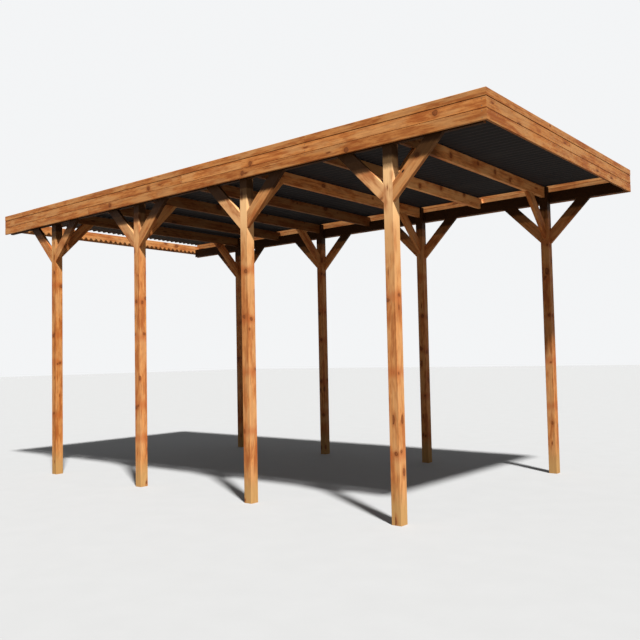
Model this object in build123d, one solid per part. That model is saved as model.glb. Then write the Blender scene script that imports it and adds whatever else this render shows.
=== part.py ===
from build123d import *
from math import atan2, cos, degrees, radians, sin, tan
import os

os.makedirs("parts", exist_ok=True)

# An open timber carport, in millimetres, with a flat roof on two rows of square posts.
# X runs to the front, Y across from the near row to the far row, and Z up from the ground.
# The origin is on the ground, under the middle of the roof's outline.

# The rows of posts
post_side = 110
bay_length = 1980
bay_count = 3
row_spacing = 3755
front_overhang = 1100
rear_overhang = 1290

# Height of the beams' undersides, and how much higher the rafters' undersides are
beam_underside = 3650
rafter_lift = 70

# Sawn boards, each with its own thickness and depth
beam_thickness = 45
beam_depth = 145
rafter_thickness = 45
rafter_depth = 145
rear_beam_depth = 160
brace_thickness = 45
brace_depth = 135
arris = 3
notch_clearance = 0.5

# Knee braces, from the corner under a beam or rafter to the brace's lower edge
brace_reach = 560
brace_drop = 560

# Fascia of three boards, the top one narrower, and thicker so that it throws a shadow
fascia_depth = 104
fascia_top_depth = 74
fascia_shadow_gap = 3
fascia_thickness = 22
fascia_top_thickness = 25
fascia_bevel = 3
fascia_standoff = 45
butt_gap = 2

# Corrugated roof sheets, with their ribs lengthwise, each lapped over the next one to the rear
sheet_count = 4
sheet_lap = 150
sheet_thickness = 3
sheet_lap_clearance = 0.3
sheet_front_clearance = 10
sheet_rear_margin = 125
sheet_side_clearance = 75
rib_pitch = 100
rib_height = 36
rib_flank_angle = 50
rib_corner_cut = 5

# Places that follow from the sizes above
rafter_underside = beam_underside + rafter_lift
rafter_top = rafter_underside + rafter_depth
roof_length = front_overhang + bay_count * bay_length + rear_overhang
front = roof_length / 2
rear = -roof_length / 2
post_places = [rear + rear_overhang + i * bay_length for i in range(bay_count + 1)]
mid_bay_places = [place + bay_length / 2 for place in post_places[:-1]]
row_middle = row_spacing / 2
row_inside = row_middle - post_side / 2
row_outside = row_middle + post_side / 2
fascia_inside = row_outside + fascia_standoff
fascia_front_inside = front - fascia_top_thickness
fascia_heights = {
    "bottom": beam_underside,
    "middle": beam_underside + fascia_depth + fascia_shadow_gap,
    "top": beam_underside + 2 * (fascia_depth + fascia_shadow_gap),
}
fascia_depths = {
    "bottom": fascia_depth,
    "middle": fascia_depth,
    "top": fascia_top_depth,
}
fascia_thicknesses = {
    "bottom": fascia_thickness,
    "middle": fascia_thickness,
    "top": fascia_top_thickness,
}
# The boards of one side are butted at the ends of different mid-bay rafters
fascia_joints = {
    "bottom": [mid_bay_places[0]],
    "middle": [mid_bay_places[bay_count // 2]],
    "top": [mid_bay_places[-1]],
}


def eased(thickness, depth):
    """The section of a sawn timber, with its four arrises taken off."""
    section = Rectangle(thickness, depth)
    return chamfer(section.vertices(), arris)


def lengthwise_timber(start, end, thickness, depth, underside):
    """A timber along X, with Y = 0 at the middle of its thickness."""
    middle = underside + depth / 2
    section = Plane.YZ.offset(start) * Pos(0, middle) * eased(thickness, depth)
    return extrude(section, amount=end - start)


def crosswise_timber(half_length, thickness, depth, underside):
    """A timber along Y, with X = 0 at the middle of its thickness."""
    whole = lengthwise_timber(-half_length, half_length, thickness, depth, underside)
    return Rot(0, 0, 90) * whole


def post():
    """The far row's post, with its outer face rebated at the top to seat the side beam."""
    shaft = extrude(eased(post_side, post_side), amount=rafter_top)
    rebate_height = rafter_top - beam_underside
    rebate = Box(
        post_side,
        beam_thickness,
        rebate_height,
        align=(Align.CENTER, Align.MAX, Align.MIN),
    )
    return shaft - Pos(0, post_side / 2, beam_underside) * rebate


def brace(underside):
    """A knee brace that rises along X from a post face at X = 0 to the underside it carries."""
    angle = atan2(brace_drop, brace_reach)
    foot = underside - brace_drop
    foot_top = foot + brace_depth / cos(angle)
    head_start = brace_reach - brace_depth / sin(angle)
    outline = Polyline(
        (0, foot),
        (brace_reach, underside),
        (head_start, underside),
        (0, foot_top),
        close=True,
    )
    blank = extrude(Plane.XZ * make_face(outline), brace_thickness / 2, both=True)
    slope = Axis((0, 0, 0), (brace_reach, 0, brace_drop))
    return chamfer(blank.edges().filter_by(slope), arris)


def braces(place):
    """The far row's three braces at one post: to the front, to the rear and across."""
    side_middle = row_outside - brace_thickness / 2
    forward = Pos(place + post_side / 2, side_middle, 0) * brace(beam_underside)
    backward = Pos(place - post_side / 2, side_middle, 0) * Rot(0, 0, 180) * brace(beam_underside)
    across = Pos(place, row_inside, 0) * Rot(0, 0, -90) * brace(rafter_underside)
    return [forward, backward, across]


def mid_bay_rafter():
    """A rafter from fascia to fascia, notched on its underside where it crosses the side beams."""
    rafter = crosswise_timber(fascia_inside, rafter_thickness, rafter_depth, rafter_underside)
    beam_top = beam_underside + beam_depth
    notch = Box(
        rafter_thickness,
        beam_thickness + 2 * notch_clearance,
        beam_top - rafter_underside,
        align=(Align.CENTER, Align.CENTER, Align.MIN),
    )
    for side in (-1, 1):
        beam_middle = side * (row_outside - beam_thickness / 2)
        rafter -= Pos(0, beam_middle, rafter_underside) * notch
    return rafter


def fascia_board(start, end, course):
    """A fascia board along X, with its back on Y = 0 and bevels along its two outer arrises."""
    thickness = fascia_thicknesses[course]
    depth = fascia_depths[course]
    middle = fascia_heights[course] + depth / 2
    section = Pos(thickness / 2, middle) * Rectangle(thickness, depth)
    outer = section.vertices().group_by(Axis.X)[-1]
    section = Plane.YZ.offset(start) * chamfer(outer, fascia_bevel)
    return extrude(section, amount=end - start)


def mitred(board, end, thickness, direction):
    """The board with the end that points along X * direction cut at 45 degrees."""
    cut = Plane(origin=(end, thickness, 0), z_dir=(direction, -1, 0))
    return split(board, bisect_by=cut, keep=Keep.BOTTOM)


def side_fascia(course):
    """One course of the far side's fascia, butted over a rafter and mitred at the front corner."""
    thickness = fascia_thicknesses[course]
    corner = fascia_front_inside + thickness
    ends = [rear, *fascia_joints[course], corner]
    boards = []
    for start, end in zip(ends[:-1], ends[1:]):
        near_gap = 0 if start == rear else butt_gap / 2
        far_gap = 0 if end == corner else butt_gap / 2
        boards.append(fascia_board(start + near_gap, end - far_gap, course))
    boards[-1] = mitred(boards[-1], corner, thickness, 1)
    return [Pos(0, fascia_inside, 0) * board for board in boards]


def front_fascia(course):
    """One course of the front fascia, mitred at both corners."""
    thickness = fascia_thicknesses[course]
    corner = fascia_inside + thickness
    board = fascia_board(-corner, corner, course)
    board = mitred(board, corner, thickness, 1)
    board = mitred(board, -corner, thickness, -1)
    return Pos(fascia_front_inside, 0, 0) * Rot(0, 0, -90) * board


def sheet_section(rib_count):
    """The corrugated section: crests and troughs with cut corners, ending halfway up a flank."""
    quarter = rib_pitch / 4
    flank = radians(rib_flank_angle)
    crest = rib_height / 2
    corner = quarter - crest / tan(flank)
    flat = corner - rib_corner_cut
    shoulder = corner + rib_corner_cut * cos(flank)
    shoulder_height = crest - rib_corner_cut * sin(flank)
    under = [(0, 0)]
    for i in range(2 * rib_count):
        middle = quarter * (2 * i + 1)
        side = 1 if i % 2 else -1
        under += [
            (middle - shoulder, side * shoulder_height),
            (middle - flat, side * crest),
            (middle + flat, side * crest),
            (middle + shoulder, side * shoulder_height),
        ]
    under.append((rib_count * rib_pitch, 0))
    over = [(x, y + sheet_thickness) for x, y in reversed(under)]
    return make_face(Polyline(*under, *over, close=True))


def roof_sheet(start, length, step):
    """A sheet with its rear end at X = start, raised there by a step onto the sheet it laps."""
    rib_count = int(2 * (fascia_inside - sheet_side_clearance) // rib_pitch)
    section = Pos(-rib_count * rib_pitch / 2, rib_height / 2) * sheet_section(rib_count)
    flat = extrude(Plane.YZ.offset(-length) * section, amount=length)
    tilt = degrees(atan2(step, length - sheet_lap))
    return Pos(start + length, 0, rafter_top) * Rot(0, tilt, 0) * flat


def write(name, solids):
    """Writes one node, which may hold several solids that don't touch."""
    export_step(Compound(children=solids, label=name), f"parts/{name}.step")


def write_pair(name, solids):
    """Writes a far node and its mirror image on the near side."""
    write(f"far_{name}", solids)
    write(f"near_{name}", [mirror(solid, about=Plane.XZ) for solid in solids])


for number, place in enumerate(post_places, start=1):
    write_pair(f"post_{number}", [Pos(place, row_middle, 0) * post()])
    write_pair(f"braces_{number}", braces(place))
    post_rafter = crosswise_timber(row_inside, rafter_thickness, rafter_depth, rafter_underside)
    write(f"post_rafter_{number}", [Pos(place, 0, 0) * post_rafter])

for number, place in enumerate(mid_bay_places, start=1):
    write(f"mid_rafter_{number}", [Pos(place, 0, 0) * mid_bay_rafter()])

front_rafter = crosswise_timber(fascia_inside, rafter_thickness, rafter_depth, rafter_underside)
write("front_rafter", [Pos(fascia_front_inside - rafter_thickness / 2, 0, 0) * front_rafter])

rear_beam_underside = rafter_top - rear_beam_depth
rear_beam = crosswise_timber(fascia_inside, beam_thickness, rear_beam_depth, rear_beam_underside)
write("rear_beam", [Pos(rear + beam_thickness / 2, 0, 0) * rear_beam])

side_beam = lengthwise_timber(
    rear + beam_thickness,
    fascia_front_inside - rafter_thickness,
    beam_thickness,
    beam_depth,
    beam_underside,
)
write_pair("beam", [Pos(0, row_outside - beam_thickness / 2, 0) * side_beam])

for course in fascia_heights:
    write_pair(f"fascia_{course}", side_fascia(course))
    write(f"front_fascia_{course}", [front_fascia(course)])

sheets_start = rear + sheet_rear_margin
sheets_end = fascia_front_inside - sheet_front_clearance
sheet_length = (sheets_end - sheets_start + (sheet_count - 1) * sheet_lap) / sheet_count
lap_step = sheet_thickness + sheet_lap_clearance
for number in range(1, sheet_count + 1):
    sheet_start = sheets_start + (number - 1) * (sheet_length - sheet_lap)
    write(f"roof_sheet_{number}", [roof_sheet(sheet_start, sheet_length, lap_step)])
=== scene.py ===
import bpy
import bmesh
from math import atan2, pi, radians
from random import Random
from mathutils import Matrix, Vector


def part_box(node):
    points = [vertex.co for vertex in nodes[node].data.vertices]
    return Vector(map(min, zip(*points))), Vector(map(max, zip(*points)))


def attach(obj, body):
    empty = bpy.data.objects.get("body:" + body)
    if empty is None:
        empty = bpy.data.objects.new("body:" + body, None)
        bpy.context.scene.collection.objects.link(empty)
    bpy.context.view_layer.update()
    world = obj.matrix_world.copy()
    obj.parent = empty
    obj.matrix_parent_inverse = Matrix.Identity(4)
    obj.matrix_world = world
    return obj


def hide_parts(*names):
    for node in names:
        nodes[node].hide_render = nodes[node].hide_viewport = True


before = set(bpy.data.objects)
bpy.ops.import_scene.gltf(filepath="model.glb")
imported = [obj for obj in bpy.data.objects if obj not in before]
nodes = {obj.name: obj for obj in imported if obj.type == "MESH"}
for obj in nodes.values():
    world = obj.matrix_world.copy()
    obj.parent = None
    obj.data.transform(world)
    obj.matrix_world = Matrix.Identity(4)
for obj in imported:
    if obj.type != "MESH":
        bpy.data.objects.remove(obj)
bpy.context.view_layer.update()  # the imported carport, in metres, X to the front and Z up
scene = bpy.context.scene
print("frame loaded:", len(nodes), "nodes")

camera = {
    "place": (7.067, -7.879, 1.593),
    "turn": (92.978, 1.176, 39.478),  # degrees, worked out from the photograph's perspective
    "lens": 41.88,
    "clipEnd": 300,
}
lens = bpy.data.cameras.new("photo_view")
lens.lens = camera["lens"]
lens.clip_end = camera["clipEnd"]
eye = bpy.data.objects.new("photo_view", lens)
eye.location = camera["place"]
eye.rotation_euler = [radians(angle) for angle in camera["turn"]]
scene.collection.objects.link(eye)
scene.camera = eye
scene.view_settings.view_transform = "Standard"


class Wire:
    # one output socket, so that sums on it can be written as sums
    def __init__(self, paint, socket):
        self.paint = paint
        self.socket = socket

    def maths(self, operation, first, second=0.0):
        return self.paint.add("Math", {"operation": operation}, {0: first, 1: second})

    def __add__(self, other):
        return self.maths("ADD", self, other)

    def __radd__(self, other):
        return self.maths("ADD", other, self)

    def __sub__(self, other):
        return self.maths("SUBTRACT", self, other)

    def __rsub__(self, other):
        return self.maths("SUBTRACT", other, self)

    def __mul__(self, other):
        return self.maths("MULTIPLY", self, other)

    def __rmul__(self, other):
        return self.maths("MULTIPLY", other, self)

    def __truediv__(self, other):
        return self.maths("DIVIDE", self, other)

    def __pow__(self, other):
        return self.maths("POWER", self, other)

    def __gt__(self, other):
        return self.maths("GREATER_THAN", self, other)

    def __abs__(self):
        return self.maths("ABSOLUTE", self)

    def least(self, other):
        return self.maths("MINIMUM", self, other)

    def most(self, other):
        return self.maths("MAXIMUM", self, other)

    def sister(self, out):
        # another output of the same node
        return Wire(self.paint, self.socket.node.outputs[out])


class Paint:
    # a material while its nodes are put together
    def __init__(self, name):
        self.material = bpy.data.materials.new(name)
        self.material.use_nodes = True
        self.tree = self.material.node_tree
        self.tree.nodes.clear()

    def add(self, kind, settings=None, sockets=None, out=0):
        made = self.tree.nodes.new("ShaderNode" + kind)
        for key, value in (settings or {}).items():
            setattr(made, key, value)
        for key, value in (sockets or {}).items():
            if isinstance(value, Wire):
                self.tree.links.new(value.socket, made.inputs[key])
            else:
                made.inputs[key].default_value = value
        return Wire(self, made.outputs[out]) if made.outputs else None

    def scaled(self, vector, scale):
        return self.add("VectorMath", {"operation": "MULTIPLY"}, {0: vector, 1: scale})

    def noise(self, place, scale, detail=2.0, roughness=0.5, distortion=0.0):
        sockets = {
            "Vector": self.scaled(place, scale),
            "Scale": 1.0,
            "Detail": detail,
            "Roughness": roughness,
            "Distortion": distortion,
        }
        return self.add("TexNoise", {}, sockets)

    def band(self, value, low, high, start=0.0, end=1.0):
        # start below low, end above high, and smooth between them
        sockets = {"Value": value, 1: low, 2: high, 3: start, 4: end}
        return self.add("MapRange", {"interpolation_type": "SMOOTHSTEP"}, sockets)

    def mix(self, first, second, share):
        return self.add("Mix", {"data_type": "RGBA"}, {0: share, 6: first, 7: second}, out=2)

    def finish(self, shader):
        self.add("OutputMaterial", {}, {"Surface": shader})
        return self.material


def rgb(red, green, blue):
    return (red, green, blue, 1.0)


alongX, alongY, alongZ = Vector((1, 0, 0)), Vector((0, 1, 0)), Vector((0, 0, 1))
timber = {
    "early": rgb(0.555, 0.218, 0.063),  # the pale wood of a ring under an orange-brown stain
    "late": rgb(0.330, 0.099, 0.025),  # the dark line of a ring
    "fresh": rgb(0.62, 0.335, 0.135),  # where the stain has faded
    "bleached": rgb(0.86, 0.53, 0.25),  # where it is all but gone
    "deep": rgb(0.320, 0.087, 0.021),  # where the stain has pooled
    "paintedShade": rgb(0.038, 0.014, 0.0035),  # painted shade, for the places under the roof that lie in shadow
    "resin": rgb(0.385, 0.092, 0.023),  # the red flush round a whorl of knots
    "weatheredAndShaded": rgb(0.225, 0.165, 0.112),  # edges that face the sky: grey weathering, and painted shade against the key lamp on them
    "splashed": rgb(0.46, 0.275, 0.10),  # the foot of a post
    "knot": rgb(0.170, 0.046, 0.014),
    "knotRim": rgb(0.054, 0.016, 0.006),
    "hole": rgb(0.008, 0.004, 0.003),  # painted shade in the hole where a knot has dropped out
    "crack": rgb(0.040, 0.016, 0.008),
    "endGrain": rgb(0.29, 0.120, 0.040),
    "ringWidth": 0.0055,
    "ringBend": 0.055,  # how far the slow waves push the rings
    "ringsRoundKnot": 2.6,
    "knotsPerMetre": 4.2,  # places along the grain where a knot may sit
    "knotsPerTurn": 0.62,  # and round the pith, per radian
    "knotEdge": 0.105,  # how far from a knot's middle its edge is, on the scale of those places
    "depth": {"late": 0.5, "streak": 6.4, "mottle": 3.4, "fibre": 1.0, "all": 0.30},  # of the stain
    "roughness": 0.62,
    "shine": 0.12,
}
# how many patches of each pattern lie on a metre, along the grain and across it
patches = {
    "wave": (1.1, 5.0, 5.0),
    "fibre": (14.0, 650.0, 650.0),
    "streak": (1.4, 48.0, 48.0),
    "cloud": (2.1, 9.0, 9.0),
    "mottle": (9.0, 34.0, 34.0),
    "check": (2.2, 130.0, 130.0),
    "dry": (1.7, 9.0, 9.0),
    "heart": (60.0, 60.0, 60.0),
}


def timberPaint(name, grain, pith, seed, tone=1.0, faded=0.0, **look):
    # grain is the timber's direction and pith a point on the line that its rings go round
    # tone lightens the whole timber, and faded, from 0 to 1, lets patches of the stain thin out
    pale = look.get("pale")  # the stain thins out between these two heights
    bleached = look.get("bleached")  # and between these two it goes, by the share that follows
    paintedShade = look.get("paintedShade")  # painted shade above this height, as under the fascia's shadow, by the share that follows
    nearEndShade = look.get("nearEndShade")  # painted shade on a rafter below the first Y, less and less up to the second
    joint = look.get("joint")  # past a butt joint the pattern starts again, as on another board
    whorls = look.get("whorls", ())  # heights of a post's rings of knots
    clear = look.get("clear", 0.70)  # share of the places for a knot that have none
    marks = look.get("marks", ())  # points and sizes of single knots
    hole = look.get("hole")  # the same for a knot that has dropped out, whose hole gets painted shade
    rich = look.get("rich", 1.0)  # how strong the colour is
    dice = Random(seed)
    paint = Paint(name)
    place = paint.add("TexCoord", out="Object")
    x = paint.add("SeparateXYZ", {}, {"Vector": place})
    y, z = x.sister("Y"), x.sister("Z")
    turn = grain.rotation_difference(alongX)
    sockets = {"Vector": place, "Location": -(turn @ pith), "Rotation": turn.to_euler()}
    log = paint.add("Mapping", {}, sockets)  # the grain along X, with the pith at Y = Z = 0
    shift = tuple(dice.uniform(5, 40) for _ in range(3))
    seeded = paint.add("VectorMath", {"operation": "ADD"}, {0: log, 1: shift})
    second = None
    if joint is not None:
        second = x > joint
        leap = (37.3, 3.7, 5.9)  # to another part of the pattern
        jump = paint.add("VectorMath", {"operation": "SCALE"}, {0: leap, "Scale": second})
        seeded = paint.add("VectorMath", {"operation": "ADD"}, {0: seeded, 1: jump})

    # knots grow outwards from the pith, so they're laid out along the log and round it
    across = paint.add("SeparateXYZ", {}, {"Vector": log})
    around = across.maths("ARCTAN2", across.sister("Z"), across.sister("Y"))
    along = paint.add("SeparateXYZ", {}, {"Vector": seeded})
    knotX = along * timber["knotsPerMetre"]
    knotY = around * timber["knotsPerTurn"] + seed * 3.7
    knotPlace = paint.add("CombineXYZ", {}, {"X": knotX, "Y": knotY})
    sockets = {"Vector": seeded, "Scale": 26.0, "Detail": 2.0}
    wobble = paint.add("TexNoise", {}, sockets, out="Color")
    sockets = {0: wobble, 1: (0.10, 0.10, 0.0), 2: knotPlace}
    knotPlace = paint.add("VectorMath", {"operation": "MULTIPLY_ADD"}, sockets)
    sockets = {"Vector": knotPlace, "Scale": 1.0}
    cell = paint.add("TexVoronoi", {"voronoi_dimensions": "2D"}, sockets, out="Distance")
    lot = paint.add("SeparateColor", {}, {"Color": cell.sister("Color")})
    bare = paint.band(lot.sister("Green"), clear, clear + 0.04, 1.0, 0.0)
    away = cell / (lot * 1.3 + 0.30) + bare  # from the nearest knot, which may be large or small
    nudge = Vector((0.024, 0.024, 0.024))  # the most that the wobble moves a single knot
    nudged = paint.add("VectorMath", {"operation": "MULTIPLY_ADD"}, {0: wobble, 1: nudge, 2: place})
    for mark, size in marks:
        sockets = {0: nudged, 1: mark + nudge / 2}
        gap = paint.add("VectorMath", {"operation": "DISTANCE"}, sockets, out="Value")
        away = away.least(gap * (timber["knotEdge"] / size))
    swell = paint.band(away, 0.04, 0.42, 1.0, 0.0)
    knot = paint.band(away, 0.085, 0.115, 1.0, 0.0)
    knotEdge = paint.band(away, 0.085, 0.108) * paint.band(away, 0.112, 0.15, 1.0, 0.0)

    # rings round the pith, bent by slow waves along the grain and by the knots
    wave = paint.noise(seeded, patches["wave"], detail=2.0)
    flat = paint.scaled(log, (0.0, 1.0, 1.0))
    radius = paint.add("VectorMath", {"operation": "LENGTH"}, {0: flat}, out="Value")
    ringPlace = (radius + (wave - 0.5) * timber["ringBend"]) / timber["ringWidth"]
    ringPlace = ringPlace + swell * timber["ringsRoundKnot"]
    ring = ringPlace.maths("FRACT", ringPlace)
    late = ring ** 2.2 * paint.band(ring, 0.90, 1.0, 1.0, 0.0)

    # fibres, streaks of stain, slow clouds, mottles and drying cracks
    fibre = paint.noise(seeded, patches["fibre"], detail=3.0, roughness=0.6)
    streak = paint.noise(seeded, patches["streak"], detail=4.0, roughness=0.72, distortion=0.3)
    cloud = paint.noise(seeded, patches["cloud"], detail=3.0, roughness=0.6)
    mottle = paint.noise(seeded, patches["mottle"], detail=3.0, roughness=0.65, distortion=0.5)
    checks = paint.noise(seeded, patches["check"], detail=2.0)
    dry = paint.noise(seeded, patches["dry"], detail=1.0)
    crack = paint.band(checks, 0.70, 0.74) * paint.band(dry, 0.52, 0.62)

    depth = timber["depth"]
    darkness = late * depth["late"] + (streak - 0.5) * depth["streak"]
    darkness = darkness + (mottle - 0.5) * depth["mottle"] + (fibre - 0.5) * depth["fibre"]
    darkness = darkness + depth["all"]
    colour = paint.mix(timber["early"], timber["late"], darkness.least(0.95))
    thin = paint.band(cloud, 0.44, 0.62, faded * 0.4, 0.45 + faded * 0.5)
    if pale is not None:
        thin = thin + paint.band(z, *pale, 0.0, 0.55) * (0.55 + cloud)
    colour = paint.mix(colour, timber["fresh"], thin.least(0.85))
    if bleached is not None:
        low, high, share = bleached
        gone = paint.band(z + (streak - 0.5) * 0.3, low, high, 0.0, share)
        colour = paint.mix(colour, timber["bleached"], gone)
    colour = paint.mix(colour, timber["deep"], paint.band(cloud, 0.32, 0.48, 0.75, 0.0))
    for height in whorls:
        gap = abs(z - height) + (streak - 0.5) * 0.16 + (mottle - 0.5) * 0.14
        colour = paint.mix(colour, timber["resin"], paint.band(gap, 0.0, 0.085, 0.55, 0.0))
    if whorls:
        splash = paint.band(z + (cloud - 0.5) * 0.5, 0.10, 0.42, 0.75, 0.0)
        colour = paint.mix(colour, timber["splashed"], splash)
    colour = paint.mix(colour, timber["late"], paint.band(away, 0.11, 0.34, 0.75, 0.0))
    heart = paint.noise(seeded, patches["heart"], detail=2.0)
    colour = paint.mix(colour, timber["knot"], knot * (0.70 + (heart - 0.5) * 1.2))
    colour = paint.mix(colour, timber["knotRim"], knotEdge * 0.7)
    # painted shade in the drying cracks
    colour = paint.mix(colour, timber["crack"], crack * 0.8)
    if paintedShade is not None:
        # painted shade: the share from the line up, and nearly full a little above it
        line, share = paintedShade
        rise = z + (streak - 0.5) * 0.04
        paintedShadeMask = paint.band(rise, line, line + 0.04, 0.0, share)
        paintedShadeMask = paintedShadeMask.most(paint.band(rise, line + 0.06, line + 0.16, 0.0, 0.98))
        colour = paint.mix(colour, timber["paintedShade"], paintedShadeMask)
    # painted shade towards the near end of a rafter
    if nearEndShade is not None:
        low, high, share = nearEndShade
        paintedShadeMask = paint.band(y + (streak - 0.5) * 0.5, low, high, share, 0.0)
        colour = paint.mix(colour, timber["paintedShade"], paintedShadeMask)
    # painted shade in the knot hole
    if hole is not None:
        point, size = hole
        sockets = {0: log, 1: turn @ (point - pith)}
        offset = paint.add("VectorMath", {"operation": "SUBTRACT"}, sockets)
        stretched = paint.scaled(offset, (0.45, 1.0, 1.0))  # longer along the grain
        gap = paint.add("VectorMath", {"operation": "LENGTH"}, {0: stretched}, out="Value")
        colour = paint.mix(colour, timber["hole"], paint.band(gap, size * 0.6, size, 1.0, 0.0))

    # sawn ends drink more stain
    normal = paint.add("NewGeometry", out="Normal")
    sockets = {0: normal, 1: grain}
    facing = paint.add("VectorMath", {"operation": "DOT_PRODUCT"}, sockets, out="Value")
    endColour = paint.mix(timber["endGrain"], timber["late"], late * 0.9)
    colour = paint.mix(colour, endColour, paint.band(abs(facing), 0.80, 0.92))

    # faces that look up turn grey with weathering and darker with painted shade
    upwards = paint.band(paint.add("SeparateXYZ", {}, {"Vector": normal}, out="Z"), 0.85, 0.97)
    colour = paint.mix(colour, timber["weatheredAndShaded"], upwards * (0.35 + streak))

    # the two boards of a course differ a little in tone
    level = tone if second is None else second * dice.uniform(-0.16, 0.16) + tone
    sockets = {"Color": colour, "Value": level, "Saturation": rich}
    colour = paint.add("HueSaturation", {}, sockets)
    roughness = timber["roughness"] + (fibre - 0.5) * 0.25 - late * 0.08 + knot * 0.05
    relief = fibre * 0.5 - late * 0.22 - crack * 1.6 + knot * 0.35 - knotEdge * 0.5
    bump = paint.add("Bump", {}, {"Strength": 0.55, "Distance": 0.0012, "Height": relief})
    sockets = {
        "Base Color": colour,
        "Roughness": roughness,
        "Normal": bump,
        "Specular IOR Level": timber["shine"],
    }
    return paint.finish(paint.add("BsdfPrincipled", {}, sockets))


def dress(node, material):
    # the node keeps its own shape and takes the material in every slot
    mesh = nodes[node].data
    if not mesh.materials:
        mesh.materials.append(material)
    for slot in nodes[node].material_slots:
        slot.material = material


def middle(node):
    low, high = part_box(node)
    return (low + high) / 2


numbers = range(1, 5)  # the posts of a row and the roof sheets, from the rear
postLow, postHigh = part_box("near_post_1")
postHalf = (postHigh.x - postLow.x) / 2
fasciaShadowLine = 3.405  # the fascia's shadow ends here, and the timbers above it get painted shade
# the heights of the near posts' whorls of knots are read from the photograph
posts = {
    "near_post_1": {
        "tone": 1.05,
        "rich": 1.02,
        "faded": 0.05,
        "pale": (3.0, 3.4),
        "paintedShadeShare": 0.80,
        "whorls": (0.85, 1.62, 2.02, 2.75),
    },
    "near_post_2": {
        "tone": 1.15,
        "faded": 0.10,
        "pale": (2.8, 3.3),
        "bleached": (2.9, 3.4, 0.25),
        "paintedShadeShare": 0.80,
        "whorls": (0.62, 1.05, 1.92, 2.38),
    },
    "near_post_3": {
        "tone": 1.12,
        "faded": 0.30,
        "pale": (2.3, 3.2),
        "bleached": (2.85, 3.3, 0.75),
        "paintedShadeShare": 0.86,
        "whorls": (0.80, 1.46, 2.05, 2.62),
    },
    "near_post_4": {
        "tone": 1.10,
        "faded": 0.45,
        "pale": (2.2, 3.1),
        "bleached": (2.7, 3.3, 0.95),
        "paintedShadeShare": 0.50,
        "whorls": (0.66, 1.45, 2.18),
    },
    "far_post_1": {"tone": 0.98, "paintedShadeShare": 0.50, "whorls": (0.5, 1.1, 1.6, 2.3, 2.9)},
    "far_post_2": {"tone": 0.95, "paintedShadeShare": 0.50, "whorls": (0.7, 1.2, 1.9, 2.4, 3.0)},
    "far_post_3": {"faded": 0.1, "paintedShadeShare": 0.50, "whorls": (0.4, 1.0, 1.7, 2.2, 2.8)},
    "far_post_4": {"faded": 0.1, "paintedShadeShare": 0.50, "whorls": (0.9, 1.5, 2.1, 2.6, 3.1)},
}
whorl = {
    "knots": 3,
    "spread": (-0.045, 0.045),  # of its knots, up and down and to the side
    "sizes": (0.009, 0.021),
    "pithAside": (-0.02, 0.02),
}
for seed, (node, look) in enumerate(posts.items(), start=11):
    dice = Random(seed)
    centre = middle(node)
    pithX, pithY = dice.uniform(*whorl["pithAside"]), dice.uniform(*whorl["pithAside"])
    knots = []
    for height in look["whorls"]:
        for _ in range(whorl["knots"]):
            # a knot comes out through one of the four faces
            out = dice.choice((alongX, -alongX, alongY, -alongY))
            aside = Vector((out.y, out.x, 0)) * dice.uniform(*whorl["spread"])
            rise = dice.uniform(*whorl["spread"])
            spot = Vector((centre.x, centre.y, height + rise)) + out * postHalf + aside
            knots.append((spot, dice.uniform(*whorl["sizes"])))
    # the posts get painted shade above the fascia's shadow line
    look["paintedShade"] = (fasciaShadowLine, look.pop("paintedShadeShare"))
    pith = centre + Vector((pithX, pithY, 0))
    dress(node, timberPaint(node, alongZ, pith, seed, marks=knots, **look))

# sawn from the side of a log, so the pith lies outside the timber
sideBeams = {
    # the beams lie above the line and get painted shade, the far one more
    "near_beam": {"tone": 0.85, "paintedShade": (3.5, 0.5)},
    "far_beam": {"tone": 0.85, "paintedShade": (3.5, 0.8)},
}
for seed, (node, look) in enumerate(sideBeams.items(), start=31):
    pith = middle(node) + Vector((0, 0.05, 0.03))
    dress(node, timberPaint(node, alongX, pith, seed, **look))

# the rafters' tones are painted light and shade: darker towards the rear, where less light comes in,
# and lighter towards the front posts
crosswise = {
    "post_rafter_1": {"tone": 0.36},
    "post_rafter_2": {"tone": 0.40},
    "post_rafter_3": {"tone": 1.25, "nearEndShade": (-1.5, -1.2, 0.8)},
    "post_rafter_4": {"tone": 1.45, "faded": 0.5, "nearEndShade": (-1.15, -0.85, 0.8)},
    "mid_rafter_1": {"tone": 0.38},
    "mid_rafter_2": {"tone": 0.45},
    "mid_rafter_3": {"tone": 1.65, "faded": 0.8, "nearEndShade": (-0.7, -0.3, 0.7)},
    "front_rafter": {"tone": 0.95},
    "rear_beam": {"tone": 1.05},
}
# Y and Z of the knots that the photograph shows on the front faces of two of them
rafterKnots = {
    "post_rafter_4": ((-0.72, 3.79), (-0.09, 3.82), (0.345, 3.80), (0.755, 3.773)),
    "mid_rafter_3": ((0.767, 3.835), (0.237, 3.773)),
}
for seed, (node, look) in enumerate(crosswise.items(), start=41):
    dice = Random(seed)
    pith = middle(node) + Vector((dice.choice((-0.06, 0.06)), 0, dice.uniform(-0.05, 0.05)))
    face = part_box(node)[1].x
    knots = [
        (Vector((face, y, z)), dice.uniform(0.018, 0.026)) for y, z in rafterKnots.get(node, ())
    ]
    dress(node, timberPaint(node, alongY, pith, seed, marks=knots, **look))
print("posts, beams and rafters painted")

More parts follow.
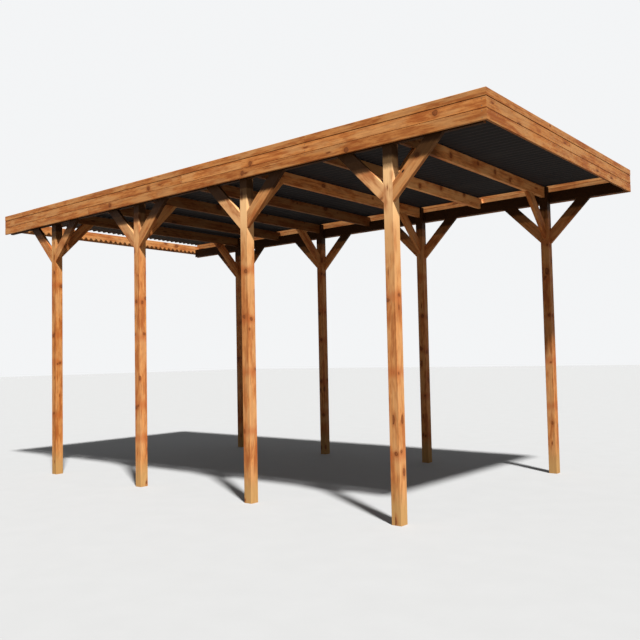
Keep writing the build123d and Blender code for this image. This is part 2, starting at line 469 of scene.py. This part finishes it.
fascia = {
    "joints": {"bottom": "mid_rafter_1", "middle": "mid_rafter_2", "top": "mid_rafter_3"},
    "clear": 0.86,
    "tones": {"near": (0.98, 1.01), "far": (0.82, 1.0), "front": (0.73, 1.02)},  # tone and richness; the front's lower tone is painted shade against the stronger key light on it
    "knotSize": 0.022,
    # X and Z of the knots that stand out on the near side
    "knots": {
        "near_fascia_middle": ((3.648, 3.818), (1.268, 3.79), (-0.55, 3.80)),
        "near_fascia_bottom": ((1.14, 3.70), (-1.38, 3.71), (2.62, 3.68)),
    },
}
seed = 60
for course, support in fascia["joints"].items():
    for side, (tone, rich) in fascia["tones"].items():
        seed += 1
        dice = Random(seed)
        node = f"{side}_fascia_{course}"
        inwards = {"near": alongY, "far": -alongY, "front": -alongX}[side]
        pith = middle(node) + inwards * dice.uniform(0.02, 0.06)
        pith += alongZ * dice.uniform(-0.04, 0.04)
        grain = alongY if side == "front" else alongX
        look = {"tone": tone, "rich": rich, "clear": fascia["clear"]}
        if side != "front":
            look["joint"] = middle(support).x
        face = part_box(node)[0].y
        places = [Vector((x, face, z)) for x, z in fascia["knots"].get(node, ())]
        look["marks"] = [(spot, fascia["knotSize"]) for spot in places]
        dress(node, timberPaint(node, grain, pith, seed, **look))
print("fascia painted")

sheets = {
    "colour": rgb(0.0145, 0.0155, 0.021),
    "dust": rgb(0.040, 0.040, 0.042),
    "roughness": 0.62,
    "patches": (0.9, 1.6, 1.6),  # to a metre, along the ribs and across them
    "grit": (260.0, 260.0, 260.0),
    "runs": (0.7, 26.0, 26.0),
}


def sheetPaint(name, seed):
    paint = Paint(name)
    place = paint.add("TexCoord", out="Object")
    shift = {0: place, 1: (seed * 3.1, seed * 1.7, 0)}
    seeded = paint.add("VectorMath", {"operation": "ADD"}, shift)
    patch = paint.noise(seeded, sheets["patches"], detail=4.0, roughness=0.6)
    grit = paint.noise(seeded, sheets["grit"], detail=2.0)
    run = paint.noise(seeded, sheets["runs"], detail=3.0)
    dusty = paint.band(patch, 0.45, 0.75, 0.0, 0.55) + paint.band(run, 0.55, 0.8, 0.0, 0.35)
    colour = paint.mix(sheets["colour"], sheets["dust"], dusty * (0.5 + grit))
    roughness = sheets["roughness"] + (grit - 0.5) * 0.2 + dusty * 0.15
    bump = paint.add("Bump", {}, {"Strength": 0.35, "Distance": 0.0006, "Height": grit + patch * 2.0})
    sockets = {"Base Color": colour, "Roughness": roughness, "Normal": bump}
    return paint.finish(paint.add("BsdfPrincipled", {}, sockets))


sharpFrom = radians(35)  # on a smooth piece, a sharper fold than this stays an edge


def meshPiece(name, shape, material, smooth=False):
    # turns a finished bmesh into a piece that rides on the carport's one body
    mesh = bpy.data.meshes.new(name)
    shape.to_mesh(mesh)
    shape.free()
    mesh.materials.append(material)
    piece = bpy.data.objects.new(name, mesh)
    scene.collection.objects.link(piece)
    if smooth:
        mesh.shade_smooth()
        mesh.set_sharp_from_angle(angle=sharpFrom)
    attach(piece, "root")
    return piece


for number in numbers:
    node = f"roof_sheet_{number}"
    sheet = bmesh.new()
    sheet.from_mesh(nodes[node].data)
    bmesh.ops.remove_doubles(sheet, verts=sheet.verts, dist=1e-5)
    paint = sheetPaint(node, number)
    piece = meshPiece(f"corrugated_sheet_{number}", sheet, paint, smooth=True)
    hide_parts(node)
print("roof sheets painted")


def braceShape(corner, out, reach, drop, thickness, depth, arris):
    # a plank laid on the slope, with its ends sawn to the post and to what it carries
    angle = atan2(drop, reach)
    plank = bmesh.new()
    bmesh.ops.create_cube(plank, size=1)
    size = Matrix.Diagonal((2 * (reach + drop), thickness, depth, 1))
    bmesh.ops.transform(plank, matrix=size, verts=plank.verts)
    long = [edge for edge in plank.edges if edge.verts[0].co.x * edge.verts[1].co.x < 0]
    bmesh.ops.bevel(
        plank, geom=long, offset=arris, affect="EDGES", segments=2, profile=0.5, material=-1
    )
    # its lower edge runs from the post, a drop below the corner, to the reach
    slope = Matrix.Rotation(-angle, 4, "Y")
    lift = Vector((0, 0, -drop)) + slope @ Vector((0, 0, depth / 2))
    bmesh.ops.transform(plank, matrix=Matrix.Translation(lift) @ slope, verts=plank.verts)
    for normal in (-alongX, alongZ):
        everything = plank.verts[:] + plank.edges[:] + plank.faces[:]
        bmesh.ops.bisect_plane(
            plank, geom=everything, plane_co=(0, 0, 0), plane_no=normal, clear_outer=True
        )
        rim = [edge for edge in plank.edges if edge.is_boundary]
        bmesh.ops.holes_fill(plank, edges=rim)
    turn = Matrix.Rotation(atan2(out.y, out.x), 4, "Z")
    bmesh.ops.transform(plank, matrix=Matrix.Translation(corner) @ turn, verts=plank.verts)
    bmesh.ops.recalc_face_normals(plank, faces=plank.faces)
    return plank


braces = {
    "plank": {"thickness": 0.045, "depth": 0.135, "arris": 0.003},
    "screws": (0.13, 0.87),  # shares of the way up the lower edge
    # share of painted shade above the fascia's shadow line
    "paintedShadeShare": 0.6,
    # tone and fading of those at the two front posts of the near row
    "sunlit": {"forward": (1.0, 0.3), "rearward": (1.12, 0.6), "across": (1.12, 0.6)},
    "looks": {
        "near_brace_2_forward": {"paintedShadeShare": 0.90},
        "near_brace_2_rearward": {"paintedShadeShare": 0.90, "bleached": (2.8, 2.9, 0.35)},
        "near_brace_3_forward": {"paintedShadeShare": 0.97, "higher": 0.05},
        "near_brace_3_rearward": {"paintedShadeShare": 0.97, "higher": 0.03, "bleached": (2.8, 2.9, 0.45)},
        "near_brace_4_forward": {"paintedShadeShare": 0.70, "higher": 0.05},
        "near_brace_4_rearward": {"paintedShadeShare": 0.95, "bleached": (2.8, 2.9, 0.45)},
    },
    # X, Z and size of a knot and a knot hole on an outer face
    "knots": {"near_brace_4_forward": (3.40, 3.49, 0.020)},
    "holes": {"near_brace_4_forward": (3.242, 3.365, 0.011)},
}
screws = []  # points and outward directions, filled in as the timbers are made
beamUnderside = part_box("near_beam")[0].z
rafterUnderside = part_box("post_rafter_1")[0].z
seed = 80
for row, inward in (("near", 1), ("far", -1)):
    for number in numbers:
        node = f"{row}_braces_{number}"
        low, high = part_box(node)
        post = middle(f"{row}_post_{number}")
        reach = (high.x - low.x) / 2 - postHalf
        drop = beamUnderside - low.z
        face = post.y - inward * postHalf
        sideLine = face + inward * braces["plank"]["thickness"] / 2
        for way, out in (("forward", alongX), ("rearward", -alongX), ("across", alongY * inward)):
            name = f"{row}_brace_{number}_{way}"
            own = braces["looks"].get(name, {})
            seed += 1
            dice = Random(seed)
            corner = Vector((post.x, sideLine, beamUnderside))
            if way == "across":
                corner = Vector((post.x, post.y, rafterUnderside))
            corner += out * postHalf
            climb = out * reach + alongZ * drop
            pith = corner - alongZ * (drop / 2)
            pith += Vector((dice.uniform(-0.05, 0.05), dice.uniform(-0.05, 0.05), 0))
            look = {"tone": dice.uniform(0.95, 1.08)}
            if row == "near" and number > 2:
                look["tone"], look["faded"] = braces["sunlit"][way]
            # the side braces get painted shade above the line
            if way != "across":
                line = fasciaShadowLine + own.get("higher", 0.0)
                look["paintedShade"] = (line, own.get("paintedShadeShare", braces["paintedShadeShare"]))
                look["bleached"] = own.get("bleached")
            if name in braces["knots"]:
                x, z, size = braces["knots"][name]
                look["marks"] = [(Vector((x, face, z)), size)]
            if name in braces["holes"]:
                x, z, size = braces["holes"][name]
                look["hole"] = (Vector((x, face, z)), size)
            paint = timberPaint(f"{node}_{way}", climb.normalized(), pith, seed, **look)
            shape = braceShape(corner, out, reach, drop, **braces["plank"])
            piece = meshPiece(name, shape, paint)
            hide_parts(node)
            # one screw near each end, driven through the lower edge
            edge = (out * drop - alongZ * reach).normalized()
            foot = corner - alongZ * drop
            for share in braces["screws"]:
                screws.append((foot + climb * share, edge))
print("braces made")


def turned(profile, steps):
    # a small round part, spun from its outline of radius and height
    shape = bmesh.new()
    verts = [shape.verts.new((radius, 0, height)) for radius, height in profile]
    edges = [shape.edges.new(pair) for pair in zip(verts, verts[1:])]
    around = {"axis": (0, 0, 1), "cent": (0, 0, 0), "angle": 2 * pi, "steps": steps}
    bmesh.ops.spin(shape, geom=verts + edges, use_merge=True, **around)
    bmesh.ops.remove_doubles(shape, verts=shape.verts, dist=1e-6)
    bmesh.ops.recalc_face_normals(shape, faces=shape.faces)
    return shape


def scattered(name, part, places, material):
    # one piece made of many copies of a small part, each at a point and facing out
    pattern = bpy.data.meshes.new(name)
    part.to_mesh(pattern)
    part.free()
    whole = bmesh.new()
    for point, out in places:
        start = len(whole.verts)
        whole.from_mesh(pattern)
        whole.verts.ensure_lookup_table()
        place = Matrix.Translation(point) @ out.to_track_quat("Z", "Y").to_matrix().to_4x4()
        bmesh.ops.transform(whole, matrix=place, verts=whole.verts[start:])
    bpy.data.meshes.remove(pattern)
    meshPiece(name, whole, material, smooth=True)


screw = {
    "outline": [
        (0, 0.0003),  # the recess in its head
        (0.0021, 0.0003),
        (0.0024, 0.0010),
        (0.0039, 0.0010),
        (0.0045, 0),
        (0, -0.001),
    ],
    "steps": 10,
    "fromEdge": 0.022,
    "fromJoint": 0.012,
    "frontSpacing": 0.6,
    "frontRows": range(-3, 4),
    "steel": rgb(0.30, 0.235, 0.15),
    "stained": rgb(0.16, 0.085, 0.04),
}
# two screws a board where the side fascias cross a rafter's end, and at both sides of a joint
supports = ["rear_beam", "mid_rafter_1", "mid_rafter_2", "mid_rafter_3", "front_rafter"]
for side, out in (("near", -alongY), ("far", alongY)):
    for course in ("bottom", "middle"):
        low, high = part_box(f"{side}_fascia_{course}")
        face = low.y if side == "near" else high.y
        for support in supports:
            x = middle(support).x
            jointed = support == fascia["joints"][course]
            for aside in (-screw["fromJoint"], screw["fromJoint"]) if jointed else (0,):
                for z in (low.z + screw["fromEdge"], high.z - screw["fromEdge"]):
                    screws.append((Vector((x + aside, face, z)), out))
for course in ("bottom", "middle"):
    low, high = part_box(f"front_fascia_{course}")
    for step in screw["frontRows"]:
        for z in (low.z + screw["fromEdge"], high.z - screw["fromEdge"]):
            screws.append((Vector((high.x, step * screw["frontSpacing"], z)), alongX))
paint = Paint("screw_steel")
place = paint.add("TexCoord", out="Object")
stain = paint.noise(place, (180.0, 180.0, 180.0), detail=3.0)
colour = paint.mix(screw["steel"], screw["stained"], paint.band(stain, 0.35, 0.65))
roughness = stain * 0.4 + 0.35
bump = paint.add("Bump", {}, {"Strength": 0.2, "Distance": 0.0002, "Height": stain})
sockets = {"Base Color": colour, "Metallic": 0.8, "Roughness": roughness, "Normal": bump}
steel = paint.finish(paint.add("BsdfPrincipled", {}, sockets))
scattered("fascia_and_brace_screws", turned(screw["outline"], screw["steps"]), screws, steel)

cap = {
    "outline": [(0, 0.0085), (0.0055, 0.0080), (0.0105, 0.0048), (0.0130, 0), (0, -0.002)],
    "steps": 12,
    "everyRib": 3,
    "ribPitch": 0.1,
    "firstCrest": 0.075,  # from the sheet's edge
    "sheetLap": 0.15,
    "lapStep": 0.0033,
    "fromEnd": 0.02,  # the least from a sheet's rear end
    "intoFront": 0.015,  # of the front row, from the front rafter's rear face
    "colour": rgb(0.020, 0.020, 0.022),
    "chalky": rgb(0.060, 0.058, 0.056),
}
caps = []
lines = [middle(node).x for node in crosswise if node.startswith(("post", "mid"))]
lines.append(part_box("front_rafter")[0].x + cap["intoFront"])
for x in lines:
    # the sheet nearer to the front lies on top where two lap
    behind = [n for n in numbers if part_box(f"roof_sheet_{n}")[0].x < x - cap["fromEnd"]]
    low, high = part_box(f"roof_sheet_{max(behind)}")
    fall = cap["lapStep"] * (x - low.x) / (high.x - low.x - cap["sheetLap"])
    y = low.y + cap["firstCrest"]
    while y < high.y:
        caps.append((Vector((x, y, high.z - fall)), alongZ))
        y += cap["everyRib"] * cap["ribPitch"]
paint = Paint("fixing_cap")
place = paint.add("TexCoord", out="Object")
chalk = paint.noise(place, (90.0, 90.0, 90.0), detail=3.0)
colour = paint.mix(cap["colour"], cap["chalky"], paint.band(chalk, 0.45, 0.7))
bump = paint.add("Bump", {}, {"Strength": 0.2, "Distance": 0.0003, "Height": chalk})
sockets = {"Base Color": colour, "Roughness": chalk * 0.3 + 0.4, "Normal": bump}
capPaint = paint.finish(paint.add("BsdfPrincipled", {}, sockets))
scattered("sheet_fixing_caps", turned(cap["outline"], cap["steps"]), caps, capPaint)
print("screws:", len(screws), "caps:", len(caps))

# pale studio floor, one key lamp from the front and high up, and a pale sky all round
stage = {
    "floorColour": rgb(0.408, 0.408, 0.404),
    "floorShade": rgb(0.385, 0.385, 0.381),
    "bounceColour": rgb(0.19, 0.165, 0.14),  # the floor as it lights the timbers, dimmer and warmer
    "floorSize": 90,
    "backdrop": rgb(0.90, 0.91, 0.92),
    "skyColour": rgb(0.93, 0.96, 1.0),
    "skyStrength": 0.169,
    "keyStrength": 7.15,
    "keyWidth": 4,  # degrees across
    "keyFrom": Vector((0.84, -0.53, 1.52)),  # from the shadows under the fascia and the braces
}
ground = bmesh.new()
bmesh.ops.create_grid(ground, x_segments=1, y_segments=1, size=stage["floorSize"])
floorMesh = bpy.data.meshes.new("floor")
ground.to_mesh(floorMesh)
ground.free()
floor = bpy.data.objects.new("floor", floorMesh)
scene.collection.objects.link(floor)
paint = Paint("floor")
place = paint.add("TexCoord", out="Object")
speck = paint.noise(place, (3.0, 3.0, 3.0), detail=3.0)
shown = paint.mix(stage["floorColour"], stage["floorShade"], speck)
eyeRay = paint.add("LightPath", out="Is Camera Ray")
shown = paint.mix(stage["bounceColour"], shown, eyeRay)
sockets = {"Base Color": shown, "Roughness": 0.9, "Specular IOR Level": 0.1}
floorMesh.materials.append(paint.finish(paint.add("BsdfPrincipled", {}, sockets)))

lamp = bpy.data.lights.new("key", "SUN")
lamp.energy = stage["keyStrength"]
lamp.angle = radians(stage["keyWidth"])
key = bpy.data.objects.new("key", lamp)
key.rotation_euler = stage["keyFrom"].to_track_quat("Z", "Y").to_euler()
scene.collection.objects.link(key)

# the camera and the glossy faces see the backdrop, and everything else is lit by the sky
world = bpy.data.worlds.new("studio")
scene.world = world
world.use_nodes = True
tree = world.node_tree
tree.nodes.clear()
sky = tree.nodes.new("ShaderNodeBackground")
sky.inputs["Color"].default_value = stage["skyColour"]
sky.inputs["Strength"].default_value = stage["skyStrength"]
backdrop = tree.nodes.new("ShaderNodeBackground")
backdrop.inputs["Color"].default_value = stage["backdrop"]
rays = tree.nodes.new("ShaderNodeLightPath")
seen = tree.nodes.new("ShaderNodeMath")
seen.operation = "MAXIMUM"
tree.links.new(rays.outputs["Is Camera Ray"], seen.inputs[0])
tree.links.new(rays.outputs["Is Glossy Ray"], seen.inputs[1])
choice = tree.nodes.new("ShaderNodeMixShader")
tree.links.new(seen.outputs[0], choice.inputs[0])
tree.links.new(sky.outputs[0], choice.inputs[1])
tree.links.new(backdrop.outputs[0], choice.inputs[2])
tree.links.new(choice.outputs[0], tree.nodes.new("ShaderNodeOutputWorld").inputs[0])
print("floor, lamp and backdrop ready")
